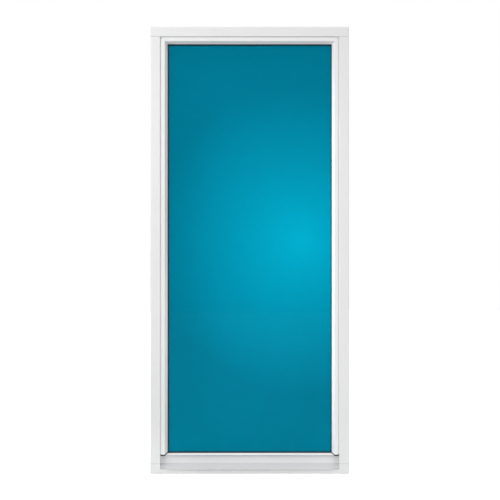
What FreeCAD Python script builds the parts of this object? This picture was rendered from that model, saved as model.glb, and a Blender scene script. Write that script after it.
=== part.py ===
import FreeCAD, Part
import math
import os

# Fixed picture window, in millimetres.
# X runs to the right as seen from outside, Y from outside to the room, Z up.
# The origin is the middle of the underside of the sill.

# Overall size
FRAME_WIDTH = 600.0
FRAME_HEIGHT = 1350.0
FRAME_DEPTH = 115.0

# Timber section of the head and jambs
FACE_WIDTH = 29.5
OUTER_ARRIS = 2.5
TOP_ARRIS = 1.5
FACE_ARRIS = 1.4
ROOM_ARRIS = 3.0
JOINT_BEVEL = 1.0

# Timber beads of the head and sides, and the rubber pads under the side beads
BEAD_SETBACK = 2.0
BEAD_DEPTH = 22.0
BEAD_FLAT = 11.5
BEAD_SPLAY = 8.0
BEAD_EDGE = 2.0
QUIRK_WIDTH = 2.5
QUIRK_DEPTH = 3.2
MITRE_GAP = 0.4
PAD_THICKNESS = 3.6

# Glass unit
PANE_THICKNESS = 4.0
CAVITY_WIDTH = 16.0
GLASS_COVER = 15.5
SPACER_HEIGHT = 7.0
SPACER_WALL = 1.0
SEAL_HEIGHT = 4.0

# Gaskets on both faces of the glass unit
GASKET_THICKNESS = 3.0
GASKET_GRIP = 9.0
GASKET_LIP = 3.0
GASKET_TIP = 1.0

# Sill
SILL_SIGHT_HEIGHT = 61.0
SILL_END_HEIGHT = 29.5
SILL_FRONT_SETBACK = 2.5
SETTING_HEIGHT = 6.0
SETTING_LENGTH = 80.0
SETTING_INSET = 64.0

# Aluminium apron on the slope of the sill
APRON_EDGE_HEIGHT = 13.0
APRON_PITCH = 48.0
APRON_WALL = 1.8
APRON_LIP = 1.0
APRON_SNIP = 20.0
APRON_UPSTAND = 6.0

# Aluminium bottom bead
BOTTOM_FACE_SETBACK = 16.0
BOTTOM_NOSE_SETBACK = 11.5
BOTTOM_NOSE_EDGE = 1.2
BOTTOM_TOP_PITCH = 19.0
BOTTOM_WALL = 1.8
SEAT_GAP = 0.3

# Frame screw holes through the jambs
SCREW_RADIUS = 5.0
SCREW_INSET = 225.0
PLUG_RADIUS = 8.0
PLUG_DEPTH = 6.0

# Levels worked out from the sizes above
SIGHT_WIDTH = FACE_WIDTH + QUIRK_WIDTH + BEAD_FLAT + BEAD_SPLAY
BEAD_BACK = BEAD_SETBACK + BEAD_DEPTH
GLASS_FRONT = BEAD_BACK + GASKET_THICKNESS
CAVITY_FRONT = GLASS_FRONT + PANE_THICKNESS
CAVITY_BACK = CAVITY_FRONT + CAVITY_WIDTH
GLASS_BACK = CAVITY_BACK + PANE_THICKNESS
STOP_FRONT = GLASS_BACK + GASKET_THICKNESS
GLASS_BOTTOM = SILL_SIGHT_HEIGHT - GLASS_COVER
POCKET_HEIGHT = GLASS_BOTTOM - SETTING_HEIGHT
HALF_WIDTH = FRAME_WIDTH / 2
HALF_DEPTH = FRAME_DEPTH / 2
SILL_HALF = HALF_WIDTH - FACE_WIDTH
APRON_RISE = math.tan(math.radians(APRON_PITCH))
APRON_DROP = APRON_WALL / math.cos(math.radians(APRON_PITCH))
BOTTOM_RISE = math.tan(math.radians(BOTTOM_TOP_PITCH))
UPSTAND_FRONT = BOTTOM_FACE_SETBACK + BOTTOM_WALL + SEAT_GAP
UPSTAND_BACK = UPSTAND_FRONT + APRON_WALL


def vector(x, y, z):
    return FreeCAD.Vector(x, y, z)


# A point of one side: across from the outer edge, depth from the outside face, along the member
def point(side, across, depth, along):
    y = depth - HALF_DEPTH
    if side == "left":
        return vector(across - HALF_WIDTH, y, along)
    if side == "right":
        return vector(HALF_WIDTH - across, y, along)
    if side == "head":
        return vector(along, y, FRAME_HEIGHT - across)
    return vector(along, y, across)


def direction(side):
    if side in ("left", "right"):
        return vector(0, 0, 1)
    return vector(1, 0, 0)


# Closed outline through corners given as (first, second, rounding)
def outline(corners, place):
    starts = []
    ends = []
    arcs = []
    count = len(corners)
    for index in range(count):
        a, b, rounding = corners[index]
        here = vector(a, b, 0)
        before = vector(corners[index - 1][0], corners[index - 1][1], 0) - here
        after = vector(corners[(index + 1) % count][0], corners[(index + 1) % count][1], 0) - here
        before.normalize()
        after.normalize()
        if rounding == 0:
            starts.append(here)
            ends.append(here)
            arcs.append(None)
            continue
        half = before.getAngle(after) / 2
        reach = rounding / math.tan(half)
        middle = before + after
        middle.normalize()
        starts.append(here + before * reach)
        ends.append(here + after * reach)
        arcs.append(here + middle * (rounding / math.sin(half) - rounding))
    edges = []
    for index in range(count):
        first = place(starts[index].x, starts[index].y)
        last = place(ends[index].x, ends[index].y)
        if arcs[index] is not None:
            edges.append(Part.Arc(first, place(arcs[index].x, arcs[index].y), last).toShape())
        following = starts[(index + 1) % count]
        edges.append(Part.makeLine(last, place(following.x, following.y)))
    return Part.Wire(edges)


# Straight member of one side with the given section
def member(side, section, start, end):
    wire = outline(section, lambda across, depth: point(side, across, depth, start))
    return Part.Face(wire).extrude(direction(side) * (end - start))


# Block between two opposite corners
def block(x1, x2, depth1, depth2, z1, z2):
    corner = vector(x1, depth1 - HALF_DEPTH, z1)
    return Part.makeBox(x2 - x1, depth2 - depth1, z2 - z1, corner)


# Corners of the sight opening along one side, and the height of its sight line
def sight(side):
    if side in ("left", "right"):
        return SILL_SIGHT_HEIGHT, FRAME_HEIGHT - SIGHT_WIDTH, SIGHT_WIDTH
    if side == "head":
        return SIGHT_WIDTH - HALF_WIDTH, HALF_WIDTH - SIGHT_WIDTH, SIGHT_WIDTH
    return SIGHT_WIDTH - HALF_WIDTH, HALF_WIDTH - SIGHT_WIDTH, SILL_SIGHT_HEIGHT


# Mitred strip along one side; its section is measured from the sight line
def strip(side, section):
    low, high, line = sight(side)
    corners = [(a + line, b, rounding) for a, b, rounding in section]
    reach = max(abs(a) for a, b, rounding in section) + MITRE_GAP
    solid = member(side, corners, low - reach, high + reach)
    ease = MITRE_GAP / 2
    shape = [
        point(side, line - reach, 0, low - reach + ease),
        point(side, line + reach, 0, low + reach + ease),
        point(side, line + reach, 0, high - reach - ease),
        point(side, line - reach, 0, high + reach - ease),
    ]
    mitre = Part.Face(Part.makePolygon(shape + shape[:1])).extrude(vector(0, FRAME_DEPTH, 0))
    return solid.common(mitre)


# Outside face and ends of the whole frame seen from above, with rounded arrises
def plan_body():
    corners = [
        (-HALF_WIDTH, -HALF_DEPTH, OUTER_ARRIS),
        (HALF_WIDTH, -HALF_DEPTH, OUTER_ARRIS),
        (HALF_WIDTH, HALF_DEPTH, FACE_ARRIS),
        (-HALF_WIDTH, HALF_DEPTH, FACE_ARRIS),
    ]
    wire = outline(corners, lambda x, y: vector(x, y, 0))
    return Part.Face(wire).extrude(vector(0, 0, FRAME_HEIGHT))


def frame_section(arris):
    return [
        (0, 0, arris),
        (FACE_WIDTH, 0, FACE_ARRIS),
        (FACE_WIDTH, STOP_FRONT, 0),
        (SIGHT_WIDTH, STOP_FRONT, 0),
        (SIGHT_WIDTH, FRAME_DEPTH, ROOM_ARRIS),
        (0, FRAME_DEPTH, FACE_ARRIS),
    ]


def frame_head():
    return member("head", frame_section(TOP_ARRIS), -HALF_WIDTH, HALF_WIDTH).common(plan_body())


# Small bevel along the outside edge of a joint at the given height
def joint_bevel(height, way):
    corners = [
        (0, height, 0),
        (JOINT_BEVEL, height, 0),
        (0, height + way * JOINT_BEVEL, 0),
    ]
    wire = outline(corners, lambda depth, z: point("sill", z, depth, -HALF_WIDTH))
    return Part.Face(wire).extrude(vector(FRAME_WIDTH, 0, 0))


# Jamb between head and sill, its ends cut to their sections
def jamb(side):
    top = FRAME_HEIGHT - FACE_WIDTH
    solid = member(side, frame_section(OUTER_ARRIS), SILL_END_HEIGHT, top)
    head_leg = block(-HALF_WIDTH, HALF_WIDTH, STOP_FRONT, FRAME_DEPTH, FRAME_HEIGHT - SIGHT_WIDTH, top)
    sill_leg = block(-HALF_WIDTH, HALF_WIDTH, STOP_FRONT, FRAME_DEPTH, SILL_END_HEIGHT, SILL_SIGHT_HEIGHT)
    solid = solid.cut(head_leg).cut(sill_leg)
    solid = solid.cut(joint_bevel(top, -1)).cut(joint_bevel(SILL_END_HEIGHT, 1))
    way = direction("head") if side == "left" else direction("head") * -1
    for height in (SCREW_INSET, FRAME_HEIGHT - SCREW_INSET):
        depth = (STOP_FRONT + FRAME_DEPTH) / 2
        hole = Part.makeCylinder(SCREW_RADIUS, SIGHT_WIDTH, point(side, 0, depth, height), way)
        plug_start = point(side, SIGHT_WIDTH - PLUG_DEPTH, depth, height)
        plug = Part.makeCylinder(PLUG_RADIUS, PLUG_DEPTH, plug_start, way)
        solid = solid.cut(hole.fuse(plug))
    return solid


def apron_height(depth):
    return APRON_EDGE_HEIGHT + depth * APRON_RISE


# Slope of the sill, on which the apron lies
def slope_height(depth):
    return apron_height(depth) - APRON_DROP


def upstand_top():
    return apron_height(UPSTAND_FRONT) + APRON_UPSTAND


# Sill: room-side leg, full ends under the jambs and a sloped front between them
def frame_sill():
    room_leg = [
        (0, STOP_FRONT, 0),
        (SILL_SIGHT_HEIGHT, STOP_FRONT, 0),
        (SILL_SIGHT_HEIGHT, FRAME_DEPTH, ROOM_ARRIS),
        (0, FRAME_DEPTH, FACE_ARRIS),
    ]
    front_back = max(UPSTAND_BACK, BEAD_BACK) + SEAT_GAP
    front = [
        (0, SILL_FRONT_SETBACK, OUTER_ARRIS),
        (slope_height(SILL_FRONT_SETBACK), SILL_FRONT_SETBACK, 0),
        (slope_height(front_back), front_back, 0),
        (POCKET_HEIGHT, front_back, 0),
        (POCKET_HEIGHT, STOP_FRONT, 0),
        (0, STOP_FRONT, 0),
    ]
    end = [
        (0, 0, OUTER_ARRIS),
        (SILL_END_HEIGHT, 0, FACE_ARRIS),
        (SILL_END_HEIGHT, STOP_FRONT, 0),
        (0, STOP_FRONT, 0),
    ]
    solid = member("sill", room_leg, -HALF_WIDTH, HALF_WIDTH)
    solid = solid.fuse(member("sill", front, -SILL_HALF, SILL_HALF))
    solid = solid.fuse(member("sill", end, -HALF_WIDTH, -SILL_HALF))
    solid = solid.fuse(member("sill", end, SILL_HALF, HALF_WIDTH))
    return solid.common(plan_body()).removeSplitter()


def bead_section():
    width = BEAD_FLAT + BEAD_SPLAY
    return [
        (-width, BEAD_SETBACK, FACE_ARRIS),
        (-BEAD_SPLAY, BEAD_SETBACK, FACE_ARRIS / 2),
        (0, BEAD_BACK - BEAD_EDGE, 0),
        (0, BEAD_BACK, 0),
        (-width - QUIRK_WIDTH, BEAD_BACK, 0),
        (-width - QUIRK_WIDTH, BEAD_SETBACK + QUIRK_DEPTH, 0),
        (-width, BEAD_SETBACK + QUIRK_DEPTH, 0),
    ]


def bottom_top(depth):
    return SILL_SIGHT_HEIGHT - (BEAD_BACK - depth) * BOTTOM_RISE


# All that lies under a plane at the given height over the slope of the bottom bead
def under_slope(lift):
    corners = [
        (bottom_top(0) + lift, 0, 0),
        (bottom_top(BEAD_BACK) + lift, BEAD_BACK, 0),
        (0, BEAD_BACK, 0),
        (0, 0, 0),
    ]
    return member("sill", corners, -HALF_WIDTH, HALF_WIDTH)


# Rubber pad on the slope of the bottom bead, under the end of a side bead
def end_pad(side):
    line = sight(side)[2]
    section = [(a + line, b, rounding) for a, b, rounding in bead_section()]
    solid = member(side, section, SILL_END_HEIGHT, SILL_SIGHT_HEIGHT + PAD_THICKNESS)
    return solid.common(under_slope(PAD_THICKNESS)).cut(under_slope(0))


# Side bead, mitred at the head and cut to the slope of the pad under it
def side_bead(side):
    high, line = sight(side)[1:]
    width = BEAD_FLAT + BEAD_SPLAY + QUIRK_WIDTH
    section = [(a + line, b, rounding) for a, b, rounding in bead_section()]
    solid = member(side, section, SILL_END_HEIGHT, high + width)
    ease = MITRE_GAP / 2
    top = [
        point(side, line, 0, high - ease),
        point(side, line, 0, high + 2 * width),
        point(side, line - width, 0, high + 2 * width),
        point(side, line - width, 0, high + width - ease),
    ]
    mitre = Part.Face(Part.makePolygon(top + top[:1])).extrude(vector(0, FRAME_DEPTH, 0))
    return solid.cut(mitre).cut(under_slope(PAD_THICKNESS + SEAT_GAP))


# Bottom bead: sloped top with a nose, a back against the gasket and a skirt over the apron upstand
def bottom_bead():
    back_low = max(upstand_top(), slope_height(BEAD_BACK)) + SEAT_GAP
    skirt_back = BOTTOM_FACE_SETBACK + BOTTOM_WALL
    nose_low = bottom_top(BOTTOM_NOSE_SETBACK) - BOTTOM_NOSE_EDGE
    section = [
        (bottom_top(BEAD_BACK), BEAD_BACK, 0),
        (back_low, BEAD_BACK, 0),
        (back_low, skirt_back, 0),
        (apron_height(skirt_back) + SEAT_GAP, skirt_back, 0),
        (apron_height(BOTTOM_FACE_SETBACK) + SEAT_GAP, BOTTOM_FACE_SETBACK, 0),
        (nose_low, BOTTOM_FACE_SETBACK, 0),
        (nose_low, BOTTOM_NOSE_SETBACK, BOTTOM_NOSE_EDGE / 3),
        (bottom_top(BOTTOM_NOSE_SETBACK), BOTTOM_NOSE_SETBACK, BOTTOM_NOSE_EDGE / 3),
    ]
    roof = BOTTOM_WALL / math.cos(math.radians(BOTTOM_TOP_PITCH))
    hollow = [
        (back_low + BOTTOM_WALL, skirt_back, 0),
        (back_low + BOTTOM_WALL, BEAD_BACK - BOTTOM_WALL, 0),
        (bottom_top(BEAD_BACK - BOTTOM_WALL) - roof, BEAD_BACK - BOTTOM_WALL, 0),
        (bottom_top(skirt_back) - roof, skirt_back, 0),
    ]
    half = SILL_HALF - SEAT_GAP
    solid = member("sill", section, -half, half)
    return solid.cut(member("sill", hollow, -half, half))


# Apron: sheet on the slope of the sill, with a front lip cut back at both ends and an upstand behind
def sill_apron():
    top = upstand_top()
    section = [
        (APRON_EDGE_HEIGHT, 0, 0),
        (APRON_EDGE_HEIGHT - APRON_LIP, 0, 0),
        (APRON_EDGE_HEIGHT - APRON_LIP, APRON_WALL, 0),
        (slope_height(APRON_WALL), APRON_WALL, 0),
        (slope_height(UPSTAND_BACK), UPSTAND_BACK, 0),
        (top, UPSTAND_BACK, 0),
        (top, UPSTAND_FRONT, 0),
        (apron_height(UPSTAND_FRONT), UPSTAND_FRONT, 0),
    ]
    half = SILL_HALF - SEAT_GAP
    solid = member("sill", section, -half, half)
    for start in (-half, half - APRON_SNIP):
        solid = solid.cut(block(start, start + APRON_SNIP, 0, SILL_FRONT_SETBACK, 0, top))
    return solid


def pane(depth1, depth2):
    left = SIGHT_WIDTH - GLASS_COVER - HALF_WIDTH
    top = FRAME_HEIGHT - SIGHT_WIDTH + GLASS_COVER
    return block(left, -left, depth1, depth2, GLASS_BOTTOM, top)


def spacer(side):
    low = SEAL_HEIGHT - GLASS_COVER
    high = low + SPACER_HEIGHT
    bar = [
        (low, CAVITY_FRONT, 0),
        (high, CAVITY_FRONT, 0),
        (high, CAVITY_BACK, 0),
        (low, CAVITY_BACK, 0),
    ]
    hollow = [
        (low + SPACER_WALL, CAVITY_FRONT + SPACER_WALL, 0),
        (high - SPACER_WALL, CAVITY_FRONT + SPACER_WALL, 0),
        (high - SPACER_WALL, CAVITY_BACK - SPACER_WALL, 0),
        (low + SPACER_WALL, CAVITY_BACK - SPACER_WALL, 0),
    ]
    return strip(side, bar).cut(strip(side, hollow))


def edge_seal(side):
    section = [
        (-GLASS_COVER, CAVITY_FRONT, 0),
        (SEAL_HEIGHT - GLASS_COVER, CAVITY_FRONT, 0),
        (SEAL_HEIGHT - GLASS_COVER, CAVITY_BACK, 0),
        (-GLASS_COVER, CAVITY_BACK, 0),
    ]
    return strip(side, section)


# Gasket between a face of the glass and the bead or stop that holds it
def gasket(side, holder, glass):
    way = 1 if glass > holder else -1
    section = [
        (-GASKET_GRIP, holder, 0),
        (0, holder, 0),
        (GASKET_LIP, glass - way * GASKET_TIP, 0),
        (GASKET_LIP, glass, 0),
        (-GASKET_GRIP, glass, 0),
    ]
    return strip(side, section)


def setting_block(way):
    half = SETTING_LENGTH / 2
    middle = way * (HALF_WIDTH - SIGHT_WIDTH + GLASS_COVER - SETTING_INSET - half)
    return block(middle - half, middle + half, GLASS_FRONT, GLASS_BACK, POCKET_HEIGHT, GLASS_BOTTOM)


nodes = {
    "frame_head": frame_head(),
    "frame_sill": frame_sill(),
    "left_jamb": jamb("left"),
    "right_jamb": jamb("right"),
    "head_bead": strip("head", bead_section()),
    "left_bead": side_bead("left"),
    "right_bead": side_bead("right"),
    "left_end_pad": end_pad("left"),
    "right_end_pad": end_pad("right"),
    "bottom_bead": bottom_bead(),
    "sill_apron": sill_apron(),
    "outer_pane": pane(GLASS_FRONT, CAVITY_FRONT),
    "inner_pane": pane(CAVITY_BACK, GLASS_BACK),
    "setting_block_left": setting_block(-1),
    "setting_block_right": setting_block(1),
}
for side in ("head", "sill", "left", "right"):
    nodes["spacer_" + side] = spacer(side)
    nodes["edge_seal_" + side] = edge_seal(side)
    nodes["outer_gasket_" + side] = gasket(side, BEAD_BACK, GLASS_FRONT)
    nodes["inner_gasket_" + side] = gasket(side, STOP_FRONT, GLASS_BACK)

os.makedirs("parts", exist_ok=True)
for name, shape in nodes.items():
    shape.exportStep("parts/" + name + ".step")
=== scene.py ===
import bpy
import bmesh
import math
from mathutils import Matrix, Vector


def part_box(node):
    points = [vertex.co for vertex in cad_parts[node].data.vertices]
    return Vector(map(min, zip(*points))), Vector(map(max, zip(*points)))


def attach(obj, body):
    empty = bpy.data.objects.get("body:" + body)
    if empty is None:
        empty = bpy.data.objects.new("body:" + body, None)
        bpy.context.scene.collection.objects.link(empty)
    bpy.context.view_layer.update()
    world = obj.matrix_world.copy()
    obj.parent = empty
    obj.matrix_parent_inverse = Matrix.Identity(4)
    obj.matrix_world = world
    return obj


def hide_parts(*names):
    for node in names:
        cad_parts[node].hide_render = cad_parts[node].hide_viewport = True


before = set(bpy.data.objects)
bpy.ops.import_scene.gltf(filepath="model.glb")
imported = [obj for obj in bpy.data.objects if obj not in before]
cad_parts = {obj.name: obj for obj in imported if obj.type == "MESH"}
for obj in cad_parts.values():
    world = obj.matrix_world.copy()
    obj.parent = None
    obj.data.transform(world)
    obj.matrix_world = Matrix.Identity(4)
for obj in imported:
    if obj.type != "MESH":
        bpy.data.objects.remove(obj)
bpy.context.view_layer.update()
print("frame loaded,", len(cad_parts), "nodes")

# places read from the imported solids, in metres
headLow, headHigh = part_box("frame_head")
jambLow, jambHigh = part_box("left_jamb")
beadLow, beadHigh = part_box("left_bead")
bottomLow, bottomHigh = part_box("bottom_bead")
apronLow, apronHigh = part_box("sill_apron")
spacerLow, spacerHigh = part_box("spacer_left")

halfWidth = headHigh.x
frameTop = headHigh.z
outFace = headLow.y
frameDepth = headHigh.y - outFace
faceWidth = beadLow.x + halfWidth          # timber showing beside the bead
sightWidth = jambHigh.x + halfWidth        # timber and bead together
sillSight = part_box("frame_sill")[1].z
sillEnd = jambLow.z
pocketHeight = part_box("setting_block_left")[0].z
beadSetback = beadLow.y - outFace
beadBack = beadHigh.y - outFace
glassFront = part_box("outer_pane")[0].y - outFace
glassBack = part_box("inner_pane")[1].y - outFace
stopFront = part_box("inner_gasket_left")[1].y - outFace
spacerMiddle = (spacerLow.y + spacerHigh.y) / 2

overrun = 0.01                             # how far a cutting tool runs past the piece
barStep = 0.05                             # about the length of one stretch of a bar
toolSides = 40                             # flats round a round cutting tool
sharpTurn = 38                             # an edge that turns by more degrees stays sharp
flatWeight = 80                            # how strongly wide faces hold the shading flat


# one point of a side: across from its outer edge, depth from the outside face, along its length
def sidePoint(side, across, depth, along):
    y = outFace + depth
    if side == "left":
        return Vector((across - halfWidth, y, along))
    if side == "right":
        return Vector((halfWidth - across, y, along))
    if side == "head":
        return Vector((along, y, frameTop - across))
    return Vector((along, y, across))


# the sight opening's two corners along a side, and its sight line across that side
def sightOf(side):
    if side in ("left", "right"):
        return sillSight, frameTop - sightWidth, sightWidth
    line = sightWidth if side == "head" else sillSight
    return sightWidth - halfWidth, halfWidth - sightWidth, line


# the two mitred ends of a bar on a side, each held back by ease
def mitredEnds(side, ease):
    low, high, line = sightOf(side)
    return (lambda a, b: low + a - line + ease), (lambda a, b: high - a + line - ease)


# corners (a, b, radius) become a closed run of points, each rounding in short chords
def roundedSection(corners, chords=5):
    run = []
    for index, (a, b, radius) in enumerate(corners):
        here = Vector((a, b))
        if radius <= 0:
            run.append(here)
            continue
        before = (Vector(corners[index - 1][:2]) - here).normalized()
        after = (Vector(corners[(index + 1) % len(corners)][:2]) - here).normalized()
        half = before.angle(after) / 2
        centre = here + (before + after).normalized() * (radius / math.sin(half))
        first = here + before * (radius / math.tan(half)) - centre
        last = here + after * (radius / math.tan(half)) - centre
        turn = first.angle(last)
        for step in range(chords + 1):
            done = turn * step / chords
            spoke = (first * math.sin(turn - done) + last * math.sin(done)) / math.sin(turn)
            run.append(centre + spoke)
    return run


# a new mesh object from a filled bmesh
def newPiece(name, shape):
    bmesh.ops.recalc_face_normals(shape, faces=shape.faces[:])
    if shape.calc_volume(signed=True) < 0:
        bmesh.ops.reverse_faces(shape, faces=shape.faces[:])
    mesh = bpy.data.meshes.new(name)
    shape.to_mesh(mesh)
    shape.free()
    piece = bpy.data.objects.new(name, mesh)
    bpy.context.scene.collection.objects.link(piece)
    return piece


# faces between following rings of points, and over the first and last ring
def skinRings(shape, rings):
    for ring, following in zip(rings, rings[1:]):
        for index in range(len(ring)):
            beside = (index + 1) % len(ring)
            shape.faces.new((ring[index], ring[beside], following[beside], following[index]))
    shape.faces.new(rings[0])
    shape.faces.new(rings[-1])


# a bar of one section on a side; each end gives a height for every point of the section
def sweepBar(name, side, section, lowEnd, highEnd, step=barStep):
    shape = bmesh.new()
    ends = [(lowEnd(a, b), highEnd(a, b)) for a, b in section]
    start, stop = max(low for low, high in ends), min(high for low, high in ends)
    count = max(1, round((stop - start) / step))
    rings = []
    for turn in range(count + 1):
        ring = []
        for (a, b), (low, high) in zip(section, ends):
            along = start + (stop - start) * turn / count
            along = low if turn == 0 else high if turn == count else along
            ring.append(shape.verts.new(sidePoint(side, a, b, along)))
        rings.append(ring)
    skinRings(shape, rings)
    return newPiece(name, shape)


# a bar with square ends
def barOf(name, side, section, low, high, step=barStep):
    return sweepBar(name, side, section, lambda a, b: low, lambda a, b: high, step)


# bakes a piece's modifiers into its mesh
def settle(piece):
    graph = bpy.context.evaluated_depsgraph_get()
    made = bpy.data.meshes.new_from_object(piece.evaluated_get(graph))
    old = piece.data
    piece.modifiers.clear()
    piece.data = made
    made.name = piece.name
    bpy.data.meshes.remove(old)


# cuts, joins or keeps the common part, and leaves a plain mesh
def carve(piece, tools, operation="DIFFERENCE"):
    for tool in tools:
        cut = piece.modifiers.new("carve", "BOOLEAN")
        cut.operation = operation
        cut.solver = "EXACT"
        cut.object = tool
    settle(piece)
    for tool in tools:
        spare = tool.data
        bpy.data.objects.remove(tool)
        bpy.data.meshes.remove(spare)


# flat faces stay flat and roundings run smoothly into them
def smoothPiece(piece, sharpAngle):
    for face in piece.data.polygons:
        face.use_smooth = True
    piece.data.set_sharp_from_angle(angle=math.radians(sharpAngle))
    even = piece.modifiers.new("even", "WEIGHTED_NORMAL")
    even.keep_sharp = True
    even.weight = flatWeight
    settle(piece)


def boxTool(low, high):
    shape = bmesh.new()
    bmesh.ops.create_cube(shape, size=1)
    for vert in shape.verts:
        vert.co = Vector((low[i] + (vert.co[i] + 0.5) * (high[i] - low[i]) for i in range(3)))
    return newPiece("tool", shape)


def roundTool(centre, radius, length):
    shape = bmesh.new()
    bmesh.ops.create_cone(
        shape, cap_ends=True, segments=toolSides, radius1=radius, radius2=radius, depth=length)
    for vert in shape.verts:
        vert.co = Vector((vert.co.z, vert.co.x, vert.co.y)) + centre
    return newPiece("tool", shape)


# smooths a finished piece, gives it its material and says which solids it stands for
def addPiece(piece, finish, slot, *nodes, sharpAngle=sharpTurn):
    smoothPiece(piece, sharpAngle)
    piece.data.materials.clear()
    piece.data.materials.append(finish)
    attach(piece, "root")
    if nodes:
        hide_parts(*nodes)


# shader sums: a socket that takes part in Python expressions
class Strand:
    def __init__(self, tree, socket):
        self.tree = tree
        self.socket = socket

    def work(self, operation, first, second, clip=False):
        node = self.tree.nodes.new("ShaderNodeMath")
        node.operation = operation
        node.use_clamp = clip
        plug(self.tree, node.inputs[0], first)
        plug(self.tree, node.inputs[1], second)
        return Strand(self.tree, node.outputs[0])

    def __add__(self, other):
        return self.work("ADD", self, other)

    def __radd__(self, other):
        return self.work("ADD", other, self)

    def __sub__(self, other):
        return self.work("SUBTRACT", self, other)

    def __rsub__(self, other):
        return self.work("SUBTRACT", other, self)

    def __mul__(self, other):
        return self.work("MULTIPLY", self, other)

    def __rmul__(self, other):
        return self.work("MULTIPLY", other, self)

    def __truediv__(self, other):
        return self.work("DIVIDE", self, other)

    def __rtruediv__(self, other):
        return self.work("DIVIDE", other, self)

    def clip(self):
        return self.work("ADD", self, 0.0, True)

    def over(self, level):
        return self.work("GREATER_THAN", self, level)

    def wave(self):
        return self.work("SINE", self, 0.0)

    def size(self):
        return self.work("ABSOLUTE", self, 0.0)


def plug(tree, socket, value):
    if isinstance(value, Strand):
        tree.links.new(value.socket, socket)
    else:
        socket.default_value = value


# a node tree, filled through one method
class Finish:
    def __init__(self, name, owner=None):
        self.owner = owner or bpy.data.materials.new(name)
        self.owner.use_nodes = True
        self.tree = self.owner.node_tree
        self.tree.nodes.clear()

    def node(self, kind, settings=None, sockets=None, out=0):
        node = self.tree.nodes.new("ShaderNode" + kind)
        for key, value in (settings or {}).items():
            if key == "stops":
                ramp = node.color_ramp
                while len(ramp.elements) < len(value):
                    ramp.elements.new(1.0)
                for element, (position, colour) in zip(ramp.elements, value):
                    element.position = position
                    element.color = colour
            else:
                setattr(node, key, value)
        for key, value in (sockets or {}).items():
            plug(self.tree, node.inputs[key], value)
        return Strand(self.tree, node.outputs[out]) if node.outputs else node

    def place(self):
        return self.node("TexCoord", out="Object")

    def stretch(self, vector, scale):
        return self.node("Mapping", sockets={"Vector": vector, "Scale": scale})

    def noise(self, vector, scale, detail, roughness=0.5):
        sockets = {"Vector": vector, "Scale": scale, "Detail": detail, "Roughness": roughness}
        return self.node("TexNoise", sockets=sockets)

    def mix(self, share, first, second):
        return self.node("Mix", {"data_type": "RGBA"}, {0: share, 6: first, 7: second}, out=2)

    def bump(self, height, distance, strength, under=None):
        sockets = {"Height": height, "Distance": distance, "Strength": strength}
        if under:
            sockets["Normal"] = under
        return self.node("Bump", sockets=sockets)

    def close(self, sockets):
        shader = self.node("BsdfPrincipled", sockets=sockets)
        self.node("OutputMaterial", sockets={"Surface": shader})
        return self.owner


# satin paint on timber: grain showing faintly through, fine orange peel, slow tone change
timberPaint = {
    "frameColour": (0.755, 0.755, 0.755, 1),
    "frameShade": (0.715, 0.717, 0.72, 1),
    "beadColour": (0.79, 0.79, 0.787, 1),
    "beadShade": (0.755, 0.755, 0.755, 1),
    "toneGain": 1.5,                       # contrast of the slow patches
    "toneStart": 0.35,                     # more leaves fewer patches
    "toneShare": 0.6,
    "grainShare": 0.25,
    "roughness": 0.36,
    "toneRoughness": 0.08,
    "peelRoughness": 0.05,
    "refraction": 1.46,
    "grainAcross": 260.0,
    "grainAlong": 6.0,
    "grainDetail": 4.0,
    "grainBreak": 0.62,
    "grainRise": 0.0005,
    "grainStrength": 0.6,
    "peelScale": 1100.0,
    "peelDetail": 1.0,
    "peelRise": 0.00003,
    "peelStrength": 0.5,
    "toneScale": 5.0,
    "toneDetail": 3.0,
}


# runs is the axis of the grain: 0 for level members, 2 for uprights
def paintedTimber(name, runs, colour, shade):
    paint = timberPaint
    kit = Finish(name)
    spot = kit.place()
    scale = [paint["grainAcross"]] * 3
    scale[runs] = paint["grainAlong"]
    grain = kit.noise(kit.stretch(spot, scale), 1.0, paint["grainDetail"], paint["grainBreak"])
    peel = kit.noise(spot, paint["peelScale"], paint["peelDetail"])
    tone = kit.noise(spot, paint["toneScale"], paint["toneDetail"])
    patches = (tone * paint["toneGain"] - paint["toneStart"]).clip() * paint["toneShare"]
    under = kit.bump(grain, paint["grainRise"], paint["grainStrength"])
    return kit.close({
        "Base Color": kit.mix(patches + grain * paint["grainShare"], colour, shade),
        "Roughness": paint["roughness"] + tone * paint["toneRoughness"] + peel * paint["peelRoughness"],
        "Normal": kit.bump(peel, paint["peelRise"], paint["peelStrength"], under),
        "IOR": paint["refraction"],
    })


frameTones = timberPaint["frameColour"], timberPaint["frameShade"]
beadTones = timberPaint["beadColour"], timberPaint["beadShade"]
uprightPaint = paintedTimber("painted timber upright", 2, *frameTones)
levelPaint = paintedTimber("painted timber level", 0, *frameTones)
uprightBeadPaint = paintedTimber("painted bead upright", 2, *beadTones)
levelBeadPaint = paintedTimber("painted bead level", 0, *beadTones)


# powder coated aluminium: fine fleck, faint drawing lines along it, and a painted highlight along a low
# edge
coatedMetal = {
    "beadColour": (0.765, 0.765, 0.765, 1),
    "beadShade": (0.733, 0.736, 0.743, 1),
    "apronColour": (0.447, 0.452, 0.462, 1),
    "apronShade": (0.42, 0.425, 0.437, 1),
    "toneShare": 0.7,
    "fleckShare": 0.3,
    "paintedHighlight": (0.74, 0.745, 0.75, 1),
    "paintedHighlightHeight": 0.0013,                # of the apron's front edge
    "paintedHighlightFade": 0.0004,
    "roughness": 0.42,
    "lineRoughness": 0.1,
    "toneRoughness": 0.05,
    "fleckScale": 2600.0,
    "fleckDetail": 1.0,
    "fleckRise": 0.00002,
    "fleckStrength": 0.5,
    "lineAcross": 900.0,
    "lineAlong": 2.0,
    "lineDetail": 3.0,
    "lineRise": 0.00006,
    "lineStrength": 0.5,
    "toneScale": 9.0,
    "toneDetail": 3.0,
}
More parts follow.
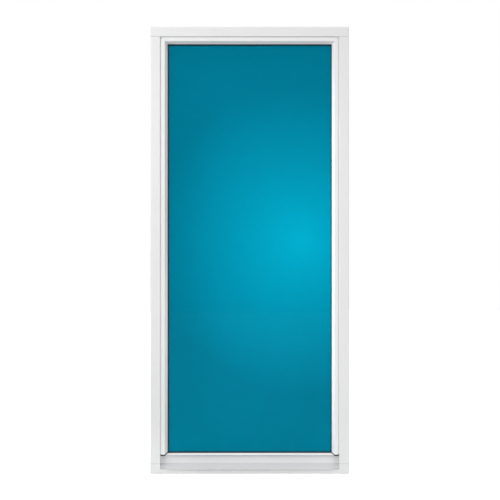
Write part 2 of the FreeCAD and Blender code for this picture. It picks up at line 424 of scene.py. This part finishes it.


# a painted highlight: the colour is lighter below edgeHeight
def coatedAluminium(name, colour, shade, edgeHeight):
    metal = coatedMetal
    kit = Finish(name)
    spot = kit.place()
    drawing = kit.stretch(spot, (metal["lineAlong"], metal["lineAcross"], metal["lineAcross"]))
    fleck = kit.noise(spot, metal["fleckScale"], metal["fleckDetail"])
    lines = kit.noise(drawing, 1.0, metal["lineDetail"])
    tone = kit.noise(spot, metal["toneScale"], metal["toneDetail"])
    drawn = kit.bump(lines, metal["lineRise"], metal["lineStrength"])
    coat = kit.mix((tone * metal["toneShare"] + fleck * metal["fleckShare"]).clip(), colour, shade)
    height = kit.node("SeparateXYZ", sockets={"Vector": spot}, out="Z")
    # painted highlight: a lighter colour below edgeHeight, fading out above it
    highlightShare = ((edgeHeight - height) / metal["paintedHighlightFade"]).clip()
    return kit.close({
        "Base Color": kit.mix(highlightShare, coat, metal["paintedHighlight"]),
        "Roughness": metal["roughness"] + lines * metal["lineRoughness"] + tone * metal["toneRoughness"],
        "Normal": kit.bump(fleck, metal["fleckRise"], metal["fleckStrength"], drawn),
    })


beadMetal = coatedAluminium(
    "white coated bottom bead", coatedMetal["beadColour"], coatedMetal["beadShade"], bottomLow.z)
# the apron's low front edge gets the painted highlight
apronMetal = coatedAluminium(
    "grey coated apron", coatedMetal["apronColour"], coatedMetal["apronShade"],
    apronLow.z + coatedMetal["paintedHighlightHeight"])


# black rubber with a matt bloom
glazingRubber = {
    "colour": (0.003, 0.003, 0.0033, 1),
    "bloom": (0.008, 0.0085, 0.009, 1),
    "roughness": 0.36,
    "bloomRoughness": 0.15,
    "gloss": 0.22,
    "bloomScale": 40.0,
    "bloomDetail": 4.0,
    "poreScale": 1800.0,
    "poreDetail": 2.0,
    "poreRise": 0.00004,
    "poreStrength": 0.6,
}


def gasketRubber():
    kit = Finish("black glazing rubber")
    spot = kit.place()
    bloom = kit.noise(spot, glazingRubber["bloomScale"], glazingRubber["bloomDetail"])
    pores = kit.noise(spot, glazingRubber["poreScale"], glazingRubber["poreDetail"])
    return kit.close({
        "Base Color": kit.mix(bloom, glazingRubber["colour"], glazingRubber["bloom"]),
        "Roughness": glazingRubber["roughness"] + bloom * glazingRubber["bloomRoughness"],
        "Specular IOR Level": glazingRubber["gloss"],
        "Normal": kit.bump(pores, glazingRubber["poreRise"], glazingRubber["poreStrength"]),
    })


rubber = gasketRubber()


# tinted outer pane: teal body, with a painted reflection that makes it lighter in one wide round patch
tintedPane = {
    "paintedReflection": (0.161, 0.0, 0.703),           # its middle on the pane
    "reach": 0.465,
    "midway": 0.5,                         # share of the reach where midTeal lies
    "edgeTeal": (0.0, 0.224, 0.346, 1),
    "midTeal": (0.0, 0.327, 0.489, 1),
    "paintedReflectionTeal": (0.0, 0.47, 0.675, 1),
    "clearness": 0.78,
    "refraction": 1.12,
    "gloss": 0.12,
    "roughness": 0.01,
    "smearRoughness": 0.012,
    "smearScale": 14.0,
    "smearDetail": 4.0,
    "rippleScale": 3.0,
    "rippleDetail": 1.0,
    "rippleRise": 0.0004,
    "rippleStrength": 0.2,
}
# clear pane on the room side
clearPane = {
    "colour": (0.9, 0.97, 0.95, 1),
    "clearness": 1.0,
    "refraction": 1.5,
    "gloss": 0.5,
    "roughness": 0.002,
    "smearRoughness": 0.006,
    "smearScale": 12.0,
    "smearDetail": 4.0,
    "rippleScale": 2.6,
    "rippleDetail": 1.0,
    "rippleRise": 0.0004,
    "rippleStrength": 0.2,
}


# glass of either pane, faintly smeared and rippled
def closeGlass(kit, pane, colour):
    spot = kit.place()
    smear = kit.noise(spot, pane["smearScale"], pane["smearDetail"])
    ripple = kit.noise(spot, pane["rippleScale"], pane["rippleDetail"])
    return kit.close({
        "Base Color": colour,
        "Roughness": pane["roughness"] + smear * pane["smearRoughness"],
        "Transmission Weight": pane["clearness"],
        "IOR": pane["refraction"],
        "Specular IOR Level": pane["gloss"],
        "Normal": kit.bump(ripple, pane["rippleRise"], pane["rippleStrength"]),
    })


def tintedGlass():
    kit = Finish("teal tinted glass")
    # painted reflection: the teal lightens towards one middle point on the pane
    flat = kit.stretch(kit.place(), (1.0, 0.0, 1.0))
    ends = {0: flat, 1: tintedPane["paintedReflection"]}
    far = kit.node("VectorMath", {"operation": "DISTANCE"}, ends, out="Value")
    near = (1.0 - far / tintedPane["reach"]).clip()
    stops = [
        (0.0, tintedPane["edgeTeal"]),
        (tintedPane["midway"], tintedPane["midTeal"]),
        (1.0, tintedPane["paintedReflectionTeal"]),
    ]
    return closeGlass(kit, tintedPane, kit.node("ValToRGB", {"stops": stops}, {"Fac": near}))


def clearGlass():
    return closeGlass(Finish("clear glass"), clearPane, clearPane["colour"])


# dark spacer bar with two rows of small vent holes along its inner wall
spacerBar = {
    "colour": (0.05, 0.05, 0.053, 1),
    "dust": (0.09, 0.09, 0.095, 1),
    "vent": (0.004, 0.004, 0.004, 1),
    "roughness": 0.5,
    "dustRoughness": 0.15,
    "ventRoughness": 0.3,
    "dustScale": 500.0,
    "dustDetail": 2.0,
    "dustRise": 0.2,                       # as a share of the vents' depth
    "ventDepth": 0.0003,
    "ventStrength": 0.5,
    "rowOffset": 0.0027,
    "rowHalf": 0.0006,
    "pitch": 0.007,
    "ventLevel": 0.55,                     # a higher level makes shorter vents
}


def spacerPlastic():
    kit = Finish("dark spacer bar")
    spot = kit.place()
    x, y, z = (kit.node("SeparateXYZ", sockets={"Vector": spot}, out=axis) for axis in "XYZ")
    dust = kit.noise(spot, spacerBar["dustScale"], spacerBar["dustDetail"])
    row = ((y - spacerMiddle).size() - spacerBar["rowOffset"]).size()
    beat = ((x + z) * (math.tau / spacerBar["pitch"])).wave()
    vent = beat.over(spacerBar["ventLevel"]) * (1.0 - row.over(spacerBar["rowHalf"]))
    body = kit.mix(dust, spacerBar["colour"], spacerBar["dust"])
    dusty = spacerBar["roughness"] + dust * spacerBar["dustRoughness"]
    relief = dust * spacerBar["dustRise"] - vent
    return kit.close({
        "Base Color": kit.mix(vent, body, spacerBar["vent"]),
        "Roughness": dusty + vent * spacerBar["ventRoughness"],
        "Normal": kit.bump(relief, spacerBar["ventDepth"], spacerBar["ventStrength"]),
    })


# sealants and plastics with small lumps, each by its two tones and the scale of the lumps
lumpyTones = {
    "edge sealant": ((0.02, 0.02, 0.022, 1), (0.04, 0.04, 0.043, 1), 120.0),
    "grey joint seal": ((0.16, 0.16, 0.16, 1), (0.2, 0.2, 0.2, 1), 200.0),
    "setting block plastic": ((0.13, 0.17, 0.21, 1), (0.16, 0.2, 0.24, 1), 300.0),
}
lumpySkin = {"detail": 3.0, "roughness": 0.55, "lumpRoughness": 0.2, "rise": 0.0003, "strength": 0.5}


def lumpyFinish(name):
    colour, shade, scale = lumpyTones[name]
    kit = Finish(name)
    lumps = kit.noise(kit.place(), scale, lumpySkin["detail"])
    return kit.close({
        "Base Color": kit.mix(lumps, colour, shade),
        "Roughness": lumpySkin["roughness"] + lumps * lumpySkin["lumpRoughness"],
        "Normal": kit.bump(lumps, lumpySkin["rise"], lumpySkin["strength"]),
    })


spacerBlack = spacerPlastic()
sealant = lumpyFinish("edge sealant")
jointGrey = lumpyFinish("grey joint seal")
blockPlastic = lumpyFinish("setting block plastic")
print("finishes ready")

# timber frame
timberFrame = {
    "outerArris": 0.0025,
    "topArris": 0.0015,
    "faceArris": 0.0014,
    "roomArris": 0.003,
    "jointBevel": 0.001,
    "chords": 7,
}
screwHoles = {"radius": 0.005, "inset": 0.225, "plugRadius": 0.008, "plugDepth": 0.006}


def frameSection(arris):
    return roundedSection([
        (0, 0, arris),
        (faceWidth, 0, timberFrame["faceArris"]),
        (faceWidth, stopFront, 0),
        (sightWidth, stopFront, 0),
        (sightWidth, frameDepth, timberFrame["roomArris"]),
        (0, frameDepth, timberFrame["faceArris"]),
    ], timberFrame["chords"])


# the ends and faces of the whole frame seen from above, as a tool
def planBody():
    section = roundedSection([
        (0, 0, timberFrame["outerArris"]),
        (2 * halfWidth, 0, timberFrame["outerArris"]),
        (2 * halfWidth, frameDepth, timberFrame["faceArris"]),
        (0, frameDepth, timberFrame["faceArris"]),
    ], timberFrame["chords"])
    return barOf("tool", "left", section, -overrun, frameTop + overrun, math.inf)


def makeHead():
    section = frameSection(timberFrame["topArris"])
    head = barOf("head_timber", "head", section, -halfWidth - overrun, halfWidth + overrun)
    carve(head, [planBody()], "INTERSECT")
    addPiece(head, levelPaint, "white_timber", "frame_head")


# small bevel along the outside edge of a joint
def bevelTool(height, way):
    size = timberFrame["jointBevel"]
    near, far = height - way * overrun, height + way * (size + overrun)
    section = [Vector((near, size + overrun)), Vector((near, -overrun)), Vector((far, -overrun))]
    return barOf("tool", "sill", section, -halfWidth - overrun, halfWidth + overrun, math.inf)


def makeJamb(side):
    top = frameTop - faceWidth
    jamb = barOf(side + "_jamb_timber", side, frameSection(timberFrame["outerArris"]), sillEnd, top)
    wide, stop, back = halfWidth + overrun, outFace + stopFront, outFace + frameDepth + overrun
    tools = [
        boxTool((-wide, stop, frameTop - sightWidth), (wide, back, frameTop)),
        boxTool((-wide, stop, 0), (wide, back, sillSight)),
        bevelTool(top, -1),
        bevelTool(sillEnd, 1),
    ]
    middle = (stopFront + frameDepth) / 2
    for height in (screwHoles["inset"], frameTop - screwHoles["inset"]):
        hole = sidePoint(side, sightWidth / 2, middle, height)
        plugHole = sidePoint(side, sightWidth, middle, height)
        tools.append(roundTool(hole, screwHoles["radius"], sightWidth + 2 * overrun))
        tools.append(roundTool(plugHole, screwHoles["plugRadius"], screwHoles["plugDepth"] * 2))
    carve(jamb, tools)
    addPiece(jamb, uprightPaint, "white_timber", side + "_jamb")


# sill: room leg, full ends under the jambs, sloped front between them
sillFront = {
    "setback": 0.0025,
    "edgeHeight": 0.013,
    "pitch": math.radians(48),
    "wall": 0.0018,
    "gap": 0.0003,
    "arris": 0.0005,
}
apronRise = math.tan(sillFront["pitch"])
apronDrop = sillFront["wall"] / math.cos(sillFront["pitch"])


def apronHeight(depth):
    return sillFront["edgeHeight"] + depth * apronRise


def makeSill():
    chords = timberFrame["chords"]
    setback, back, deep = sillFront["setback"], beadBack + sillFront["gap"], stopFront + overrun
    leg = roundedSection([
        (0, stopFront, 0),
        (sillSight, stopFront, 0),
        (sillSight, frameDepth, timberFrame["roomArris"]),
        (0, frameDepth, timberFrame["faceArris"]),
    ], chords)
    front = roundedSection([
        (0, setback, timberFrame["outerArris"]),
        (apronHeight(setback) - apronDrop, setback, sillFront["arris"]),
        (apronHeight(back) - apronDrop, back, 0),
        (pocketHeight, back, 0),
        (pocketHeight, deep, 0),
        (0, deep, 0),
    ], chords)
    end = roundedSection([
        (0, 0, timberFrame["outerArris"]),
        (sillEnd, 0, timberFrame["faceArris"]),
        (sillEnd, deep, 0),
        (0, deep, 0),
    ], chords)
    wide, half = halfWidth + overrun, halfWidth - faceWidth
    sill = barOf("sill_timber", "sill", leg, -wide, wide)
    carve(sill, [barOf("tool", "sill", front, -half, half)], "UNION")
    carve(sill, [barOf("tool", "sill", end, -wide, -half, math.inf)], "UNION")
    carve(sill, [barOf("tool", "sill", end, half, wide, math.inf)], "UNION")
    carve(sill, [planBody()], "INTERSECT")
    addPiece(sill, levelPaint, "white_timber", "frame_sill")


# grey sealing strip in the joint at each end of a jamb
jointSeal = {"rise": 0.0011, "round": 0.0004, "front": 0.0006, "back": 0.02, "inset": 0.0004}


def makeJointSeal(side, end, height):
    low, high = height - jointSeal["rise"] / 2, height + jointSeal["rise"] / 2
    section = roundedSection([
        (low, jointSeal["front"], jointSeal["round"]),
        (low, jointSeal["back"], 0),
        (high, jointSeal["back"], 0),
        (high, jointSeal["front"], jointSeal["round"]),
    ])
    outer, inner = halfWidth - jointSeal["inset"], halfWidth - faceWidth + jointSeal["inset"]
    start, stop = (-outer, -inner) if side == "left" else (inner, outer)
    seal = barOf(side + "_" + end + "_joint_seal", "sill", section, start, stop)
    addPiece(seal, jointGrey, "edge_sealant")


makeHead()
makeSill()
for side in ("left", "right"):
    makeJamb(side)
    makeJointSeal(side, "sill", sillEnd)
    makeJointSeal(side, "head", frameTop - faceWidth)
print("timber frame made")

# aluminium bottom bead with a drip groove under its nose
bottomBead = {
    "pitch": math.radians(19),
    "face": 0.016,
    "nose": 0.0115,
    "noseEdge": 0.0012,
    "wall": 0.0018,
    "gap": 0.0003,
    "round": 0.0005,
    "dripFront": 0.0128,
    "dripBack": 0.0148,
    "dripRise": 0.0004,
}
# aluminium apron on the slope of the sill
apronSheet = {
    "lip": 0.001,
    "snip": 0.020,                         # cut from both ends in front of the sill
    "upstand": 0.006,
    "round": 0.0006,
    "fold": 0.0008,
    "outerFold": 0.0012,
}
bottomRise = math.tan(bottomBead["pitch"])


def bottomTop(depth):
    return sillSight - (beadBack - depth) * bottomRise


def makeBottomBead():
    face, nose, gap = bottomBead["face"], bottomBead["nose"], bottomBead["gap"]
    skirt = face + bottomBead["wall"]
    low = apronHeight(skirt + gap) + apronSheet["upstand"] + gap
    under = bottomTop(nose) - bottomBead["noseEdge"]
    rise, small = bottomBead["dripRise"], bottomBead["round"]
    section = roundedSection([
        (bottomTop(beadBack), beadBack, small),
        (low, beadBack, 0),
        (low, skirt, 0),
        (apronHeight(skirt) + gap, skirt, 0),
        (apronHeight(face) + gap, face, 0),
        (under, face, 0),
        (under, bottomBead["dripBack"], 0),
        (under + rise, bottomBead["dripBack"] - rise, 0),
        (under + rise, bottomBead["dripFront"] + rise, 0),
        (under, bottomBead["dripFront"], 0),
        (under, nose, small),
        (bottomTop(nose), nose, small),
    ])
    bead = barOf("bottom_bead_metal", "sill", section, bottomLow.x, bottomHigh.x)
    wall, back = bottomBead["wall"], beadBack - bottomBead["wall"]
    roof = wall * math.hypot(1, bottomRise)
    hollow = [Vector(corner) for corner in (
        (low + wall, skirt),
        (low + wall, back),
        (bottomTop(back) - roof, back),
        (bottomTop(skirt) - roof, skirt),
    )]
    start, stop = bottomLow.x - overrun, bottomHigh.x + overrun
    carve(bead, [barOf("tool", "sill", hollow, start, stop, math.inf)])
    addPiece(bead, beadMetal, "sill_aluminium", "bottom_bead")


def makeApron():
    wall, lip, snip = sillFront["wall"], apronSheet["lip"], apronSheet["snip"]
    upFront = bottomBead["face"] + bottomBead["wall"] + bottomBead["gap"]
    upBack = upFront + wall
    top = apronHeight(upFront) + apronSheet["upstand"]
    edge = sillFront["edgeHeight"]
    section = roundedSection([
        (edge, 0, apronSheet["round"]),
        (edge - lip, 0, apronSheet["round"]),
        (edge - lip, wall, 0),
        (apronHeight(wall) - apronDrop, wall, 0),
        (apronHeight(upBack) - apronDrop, upBack, apronSheet["outerFold"]),
        (top, upBack, 0),
        (top, upFront, 0),
        (apronHeight(upFront), upFront, apronSheet["fold"]),
    ])
    apron = barOf("apron_metal", "sill", section, apronLow.x, apronHigh.x)
    ahead, front = outFace - overrun, outFace + sillFront["setback"]
    carve(apron, [
        boxTool((apronLow.x - overrun, ahead, 0), (apronLow.x + snip, front, top)),
        boxTool((apronHigh.x - snip, ahead, 0), (apronHigh.x + overrun, front, top)),
    ])
    addPiece(apron, apronMetal, "sill_aluminium", "sill_apron")


# timber beads, mitred at the head; the side beads stand on rubber pads on the bottom bead's slope
timberBead = {
    "flat": 0.0115,
    "splay": 0.008,
    "edge": 0.002,
    "quirkWidth": 0.0025,
    "quirkDepth": 0.0032,
    "arris": 0.0012,
    "edgeArris": 0.0006,
    "quirkRound": 0.0005,
    "mitreGap": 0.0004,
    "chords": 6,
}
endPad = {"thickness": 0.0036, "lift": 0.0001, "gap": 0.0003}


def beadSection():
    flat = sightWidth - timberBead["splay"]
    quirk = flat - timberBead["flat"]
    floor = beadSetback + timberBead["quirkDepth"]
    return roundedSection([
        (quirk, beadSetback, timberBead["arris"]),
        (flat, beadSetback, timberBead["arris"]),
        (sightWidth, beadBack - timberBead["edge"], timberBead["edgeArris"]),
        (sightWidth, beadBack, 0),
        (quirk - timberBead["quirkWidth"], beadBack, 0),
        (quirk - timberBead["quirkWidth"], floor, 0),
        (quirk, floor, timberBead["quirkRound"]),
    ], timberBead["chords"])


# an end that follows the bottom bead's slope at a height above it
def slopedEnd(above):
    return lambda a, b: bottomTop(b) + above


def makeBead(side):
    lowEnd, highEnd = mitredEnds(side, timberBead["mitreGap"] / 2)
    if side != "head":
        lowEnd = slopedEnd(endPad["thickness"] + endPad["gap"])
    bead = sweepBar(side + "_bead_timber", side, beadSection(), lowEnd, highEnd)
    paint = levelBeadPaint if side == "head" else uprightBeadPaint
    addPiece(bead, paint, "white_timber", side + "_bead")


def makeEndPad(side):
    lowEnd, highEnd = slopedEnd(endPad["lift"]), slopedEnd(endPad["thickness"])
    pad = sweepBar(side + "_pad_rubber", side, beadSection(), lowEnd, highEnd)
    addPiece(pad, rubber, "black_gasket", side + "_end_pad")


# filled pin heads along the flats of the beads; the dome gives share of radius and share of rise
beadPins = {
    "radius": 0.0013,
    "rise": 0.00012,
    "spacing": 0.21,
    "inset": 0.06,
    "sides": 14,
    "sharpAngle": 60,
    "dome": ((1.0, -1.6), (1.0, 0.0), (0.7, 0.6), (0.35, 0.9)),
}


def addPinHead(shape, side, across, along):
    turns = [math.tau * step / beadPins["sides"] for step in range(beadPins["sides"])]
    rings = []
    for share, lift in beadPins["dome"]:
        radius, depth = beadPins["radius"] * share, beadSetback - beadPins["rise"] * lift
        ring = []
        for turn in turns:
            aside, onward = math.cos(turn) * radius, math.sin(turn) * radius
            ring.append(shape.verts.new(sidePoint(side, across + aside, depth, along + onward)))
        rings.append(ring)
    skinRings(shape, rings)


def makePinFills():
    shape = bmesh.new()
    middle = sightWidth - timberBead["splay"] - timberBead["flat"] / 2
    for side in ("head", "left", "right"):
        low, high = sightOf(side)[:2]
        start, length = low + beadPins["inset"], high - low - 2 * beadPins["inset"]
        count = max(2, round(length / beadPins["spacing"]) + 1)
        for pin in range(count):
            addPinHead(shape, side, middle, start + length * pin / (count - 1))
    fills = newPiece("bead_pin_fills", shape)
    addPiece(fills, uprightBeadPaint, "white_timber", sharpAngle=beadPins["sharpAngle"])


for side in ("head", "left", "right"):
    makeBead(side)
makeEndPad("left")
makeEndPad("right")
makePinFills()
print("beads made")
makeBottomBead()
makeApron()
print("bottom bead and apron made")

# gaskets, mitred at the corners, with a rounded lip on the glass
gasketStrip = {
    "grip": 0.009,
    "lip": 0.003,
    "tip": 0.001,
    "round": 0.0004,
    "bellyReach": 0.0016,
    "bellyDepth": 0.0007,
    "bellyRound": 0.0008,
    "mitreGap": 0.0004,
}


def makeGasket(side, holder, glass, name, node):
    way = 1 if glass > holder else -1
    line = sightOf(side)[2]
    lip, grip = line + gasketStrip["lip"], line - gasketStrip["grip"]
    belly, bellyDepth = line + gasketStrip["bellyReach"], holder + way * gasketStrip["bellyDepth"]
    section = roundedSection([
        (grip, holder, 0),
        (line, holder, gasketStrip["round"]),
        (belly, bellyDepth, gasketStrip["bellyRound"]),
        (lip, glass - way * gasketStrip["tip"], gasketStrip["round"]),
        (lip, glass, 0),
        (grip, glass, 0),
    ])
    lowEnd, highEnd = mitredEnds(side, gasketStrip["mitreGap"] / 2)
    strip = sweepBar(name, side, section, lowEnd, highEnd)
    addPiece(strip, rubber, "black_gasket", node)


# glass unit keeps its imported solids, with finished materials
unitFinishes = {
    "outer_pane": tintedGlass(),
    "inner_pane": clearGlass(),
    "setting_block_left": blockPlastic,
    "setting_block_right": blockPlastic,
}
for side in ("head", "sill", "left", "right"):
    makeGasket(side, beadBack, glassFront, side + "_outer_rubber", "outer_gasket_" + side)
    makeGasket(side, stopFront, glassBack, side + "_inner_rubber", "inner_gasket_" + side)
    unitFinishes["spacer_" + side] = spacerBlack
    unitFinishes["edge_seal_" + side] = sealant
for node, finish in unitFinishes.items():
    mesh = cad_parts[node].data
    mesh.materials.clear()
    mesh.materials.append(finish)
print("gaskets made, glass unit finished")

# studio: pale floor, white surround, soft lights
studio = {
    "floorSize": 44.0,
    "floorCells": 8,
    "floorColour": (0.70, 0.70, 0.70, 1),
    "floorShade": (0.68, 0.68, 0.68, 1),
    "mottleScale": 3.0,
    "mottleDetail": 3.0,
    "floorRoughness": 0.9,
    "floorGloss": 0.1,
    "floorGlow": 0.4,
    "floorThroughGlass": 0.44,
    "surround": 1.0,
    "surroundThroughGlass": 1.0,
    "fill": 0.31,                          # light that the surround gives
    "gleam": 0.4,                          # its strength in reflections
}
# places and targets are measured from the middle of the window; softness and spread in degrees
sunLights = {
    "front light": {"place": (0.0, -4.0, 1.9), "strength": 0.12, "softness": 30},
    "side light": {"place": (-4.9, -0.8, 0.3), "strength": 0.75, "softness": 20},
    "counter light": {"place": (4.9, -0.9, 0.6), "strength": 0.55, "softness": 30},
    "top light": {"place": (0.0, -2.5, 6.0), "strength": 2.24, "softness": 45},
    "back light": {"place": (0.8, 4.0, 3.2), "strength": 1.0, "softness": 30},
}
areaLights = {
    "reveal light": {
        "place": (-0.30, -0.14, -0.02), "target": (0.25, -0.045, -0.02),
        "size": (0.05, 1.12), "power": 0.5, "spread": 55, "shown": False,
    },
    "return light": {
        "place": (0.30, -0.14, -0.27), "target": (-0.25, -0.045, -0.27),
        "size": (0.05, 0.4), "power": 0.07, "spread": 55, "shown": False,
    },
    "corner light": {
        "place": (-1.3, -0.8, 0.575), "target": (-0.25, 0.0, 0.325),
        "size": (0.8, 0.8), "power": 3.4, "spread": 120, "shown": True,
    },
    "left foot light": {
        "place": (-0.22, -0.32, -0.60), "target": (-0.265, -0.05, -0.635),
        "size": (0.1, 0.1), "power": 0.006, "spread": 50, "shown": False,
    },
    "right foot light": {
        "place": (0.22, -0.32, -0.60), "target": (0.265, -0.05, -0.635),
        "size": (0.1, 0.1), "power": 0.004, "spread": 50, "shown": False,
    },
}
camera = {"distance": 8.388, "aside": 0.0009, "above": 0.0005, "lens": 200.0, "sensor": 36.0}


# 1 for what the camera sees, and a share of that through glass, so that white surroundings add no light
def seenRay(kit, throughGlass):
    direct = kit.node("LightPath", out="Is Camera Ray")
    through = kit.node("LightPath", out="Is Transmission Ray")
    return direct + through * throughGlass


def makeFloor():
    shape = bmesh.new()
    cells = studio["floorCells"]
    bmesh.ops.create_grid(shape, x_segments=cells, y_segments=cells, size=studio["floorSize"] / 2)
    floor = newPiece("floor", shape)
    kit = Finish("pale floor")
    mottle = kit.noise(kit.place(), studio["mottleScale"], studio["mottleDetail"])
    floor.data.materials.append(kit.close({
        "Base Color": kit.mix(mottle, studio["floorColour"], studio["floorShade"]),
        "Roughness": studio["floorRoughness"],
        "Specular IOR Level": studio["floorGloss"],
        "Emission Color": seenRay(kit, studio["floorThroughGlass"]),
        "Emission Strength": studio["floorGlow"],
    }))


def makeSurround():
    world = bpy.data.worlds.new("studio")
    bpy.context.scene.world = world
    kit = Finish("studio", world)
    seen = seenRay(kit, studio["surroundThroughGlass"])
    gloss = kit.node("LightPath", out="Is Glossy Ray")
    unseen = gloss * studio["gleam"] + (1.0 - gloss) * studio["fill"]
    strength = seen * studio["surround"] + (1.0 - seen) * unseen
    sky = kit.node("Background", sockets={"Color": (1, 1, 1, 1), "Strength": strength})
    kit.node("OutputWorld", sockets={"Surface": sky})


def aim(item, place, target):
    middle = Vector((0, 0, frameTop / 2))
    item.location = middle + Vector(place)
    item.rotation_euler = (Vector(target) - Vector(place)).to_track_quat("-Z", "Y").to_euler()
    bpy.context.scene.collection.objects.link(item)


def makeLights():
    for name, light in sunLights.items():
        data = bpy.data.lights.new(name, "SUN")
        data.energy = light["strength"]
        data.angle = math.radians(light["softness"])
        aim(bpy.data.objects.new(name, data), light["place"], (0, 0, 0))
    for name, light in areaLights.items():
        data = bpy.data.lights.new(name, "AREA")
        data.shape = "RECTANGLE"
        data.size, data.size_y = light["size"]
        data.energy = light["power"]
        data.spread = math.radians(light["spread"])
        panel = bpy.data.objects.new(name, data)
        panel.visible_camera = light["shown"]
        panel.visible_glossy = light["shown"]
        aim(panel, light["place"], light["target"])


def makeCamera():
    data = bpy.data.cameras.new("camera")
    data.lens = camera["lens"]
    data.sensor_width = camera["sensor"]
    viewer = bpy.data.objects.new("camera", data)
    place = Vector((camera["aside"], outFace - camera["distance"], camera["above"]))
    aim(viewer, place, place + Vector((0, 1, 0)))
    bpy.context.scene.camera = viewer


makeFloor()
makeSurround()
makeLights()
makeCamera()
bpy.context.scene.view_settings.view_transform = "Standard"
print("studio ready")
